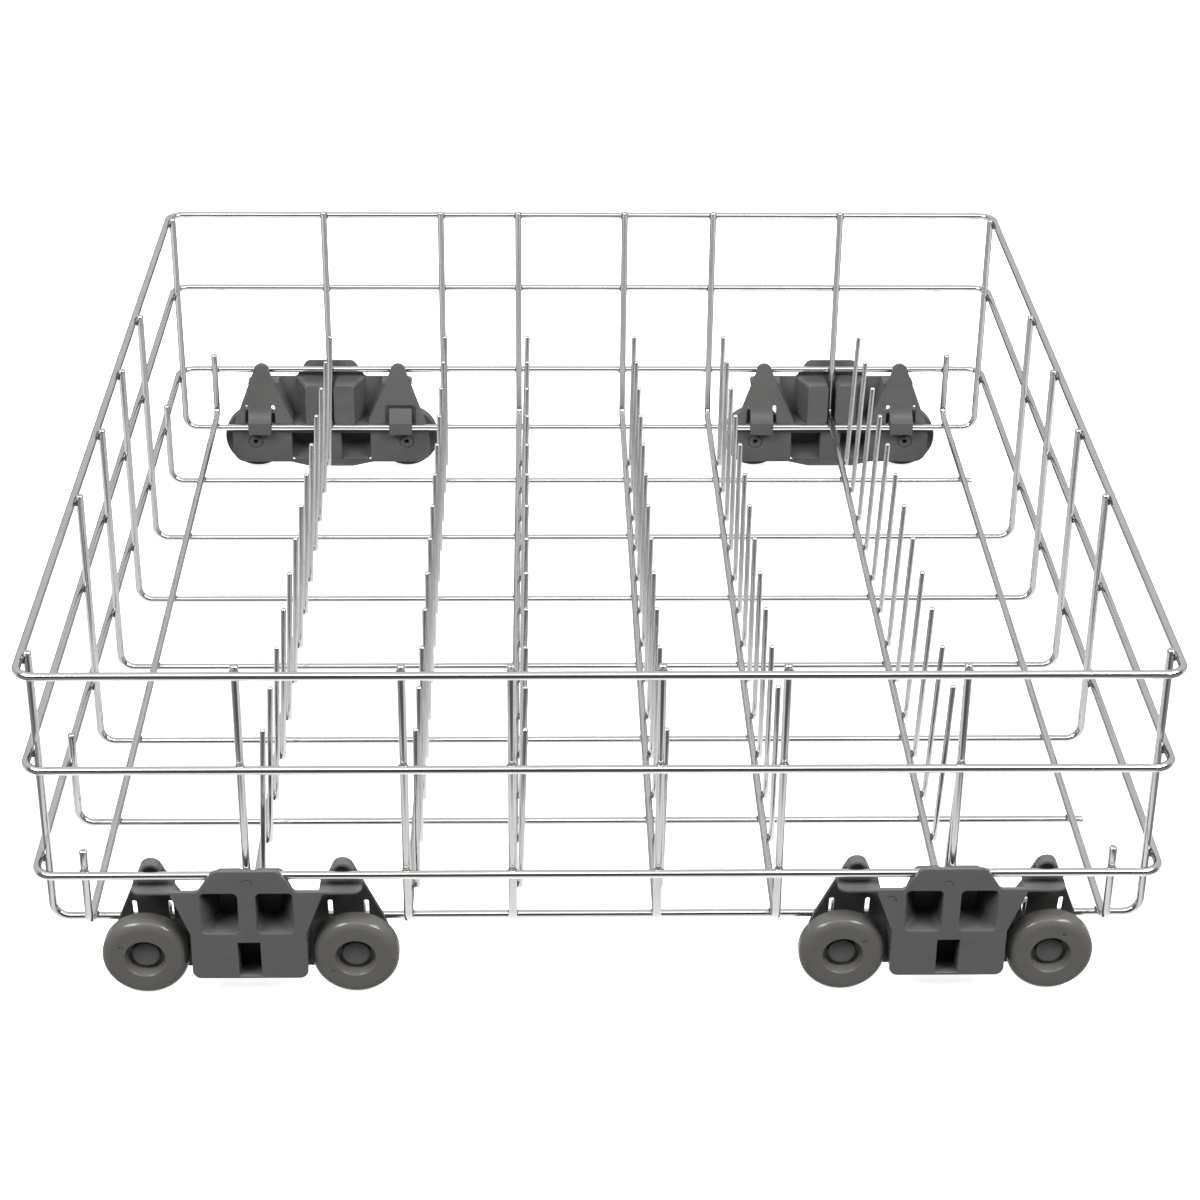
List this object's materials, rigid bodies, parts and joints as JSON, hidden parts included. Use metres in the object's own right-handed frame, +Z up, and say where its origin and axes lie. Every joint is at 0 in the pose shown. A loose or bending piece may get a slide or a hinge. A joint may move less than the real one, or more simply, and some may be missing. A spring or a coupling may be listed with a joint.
{
  "type": "dishwasher rack",
  "caption": "Lower dishwasher rack: an open welded steel wire basket with rows of leaning plate tines, rolling on clip-on plastic carriers with paired wheels.",
  "frame": {"origin": "on the floor under the wheels, at the middle of the rack's width and depth", "axes": "+X to the right in the picture and along the way the rack rolls, +Y away from the viewer along the wheel axles and the long side of the rack, +Z up"},
  "size_m": [0.513, 0.5798, 0.171],
  "materials": {
    "ring_wire": "bright drawn",
    "floor_wire": "bright drawn",
    "tine_wire": "bright drawn",
    "carrier_plastic": "satin moulded",
    "wheel_plastic": "satin moulded",
    "pin_plastic": "satin moulded"
  },
  "bodies": {
    "basket": {"top_rim": "ring_wire", "middle_ring": "ring_wire", "lower_ring": "ring_wire", "cross_wire_1": "floor_wire", "cross_wire_2": "floor_wire", "cross_wire_3": "floor_wire", "cross_wire_4": "floor_wire", "cross_wire_5": "floor_wire", "cross_wire_6": "floor_wire", "cross_wire_7": "floor_wire", "cross_wire_8": "floor_wire", "length_wire_1": "floor_wire", "length_wire_2": "floor_wire", "length_wire_3": "floor_wire", "length_wire_4": "floor_wire", "length_wire_5": "floor_wire", "length_wire_6": "floor_wire", "length_wire_7": "floor_wire", "length_wire_8": "floor_wire", "tine_row_1": "tine_wire", "tine_row_2": "tine_wire", "tine_row_3": "tine_wire", "tine_row_4": "tine_wire", "tine_row_5": "tine_wire", "tine_row_6": "tine_wire", "front_left_carrier": "carrier_plastic", "front_right_carrier": "carrier_plastic", "back_left_carrier": "carrier_plastic", "back_right_carrier": "carrier_plastic", "front_left_outer_axle_pin": "pin_plastic", "front_left_inner_axle_pin": "pin_plastic", "front_right_outer_axle_pin": "pin_plastic", "front_right_inner_axle_pin": "pin_plastic", "back_left_outer_axle_pin": "pin_plastic", "back_left_inner_axle_pin": "pin_plastic", "back_right_outer_axle_pin": "pin_plastic", "back_right_inner_axle_pin": "pin_plastic"},
    "front_left_outer_wheel": {"front_left_outer_wheel": "wheel_plastic"},
    "front_left_inner_wheel": {"front_left_inner_wheel": "wheel_plastic"},
    "front_right_outer_wheel": {"front_right_outer_wheel": "wheel_plastic"},
    "front_right_inner_wheel": {"front_right_inner_wheel": "wheel_plastic"},
    "back_left_outer_wheel": {"back_left_outer_wheel": "wheel_plastic"},
    "back_left_inner_wheel": {"back_left_inner_wheel": "wheel_plastic"},
    "back_right_outer_wheel": {"back_right_outer_wheel": "wheel_plastic"},
    "back_right_inner_wheel": {"back_right_inner_wheel": "wheel_plastic"}
  },
  "joints": [
    {"name": "front_left_outer_wheel_turn", "type": "hinge", "parent": "basket", "child": "front_left_outer_wheel", "pos_m": [-0.2076, -0.2831, 0.0199], "axis": [0, 1, 0], "continuous": true},
    {"name": "front_left_inner_wheel_turn", "type": "hinge", "parent": "basket", "child": "front_left_inner_wheel", "pos_m": [-0.1116, -0.2831, 0.0199], "axis": [0, 1, 0], "continuous": true},
    {"name": "front_right_outer_wheel_turn", "type": "hinge", "parent": "basket", "child": "front_right_outer_wheel", "pos_m": [0.2076, -0.2831, 0.0199], "axis": [0, 1, 0], "continuous": true},
    {"name": "front_right_inner_wheel_turn", "type": "hinge", "parent": "basket", "child": "front_right_inner_wheel", "pos_m": [0.1116, -0.2831, 0.0199], "axis": [0, 1, 0], "continuous": true},
    {"name": "back_left_outer_wheel_turn", "type": "hinge", "parent": "basket", "child": "back_left_outer_wheel", "pos_m": [-0.2076, 0.2831, 0.0199], "axis": [0, 1, 0], "continuous": true},
    {"name": "back_left_inner_wheel_turn", "type": "hinge", "parent": "basket", "child": "back_left_inner_wheel", "pos_m": [-0.1116, 0.2831, 0.0199], "axis": [0, 1, 0], "continuous": true},
    {"name": "back_right_outer_wheel_turn", "type": "hinge", "parent": "basket", "child": "back_right_outer_wheel", "pos_m": [0.2076, 0.2831, 0.0199], "axis": [0, 1, 0], "continuous": true},
    {"name": "back_right_inner_wheel_turn", "type": "hinge", "parent": "basket", "child": "back_right_inner_wheel", "pos_m": [0.1116, 0.2831, 0.0199], "axis": [0, 1, 0], "continuous": true}
  ]
}
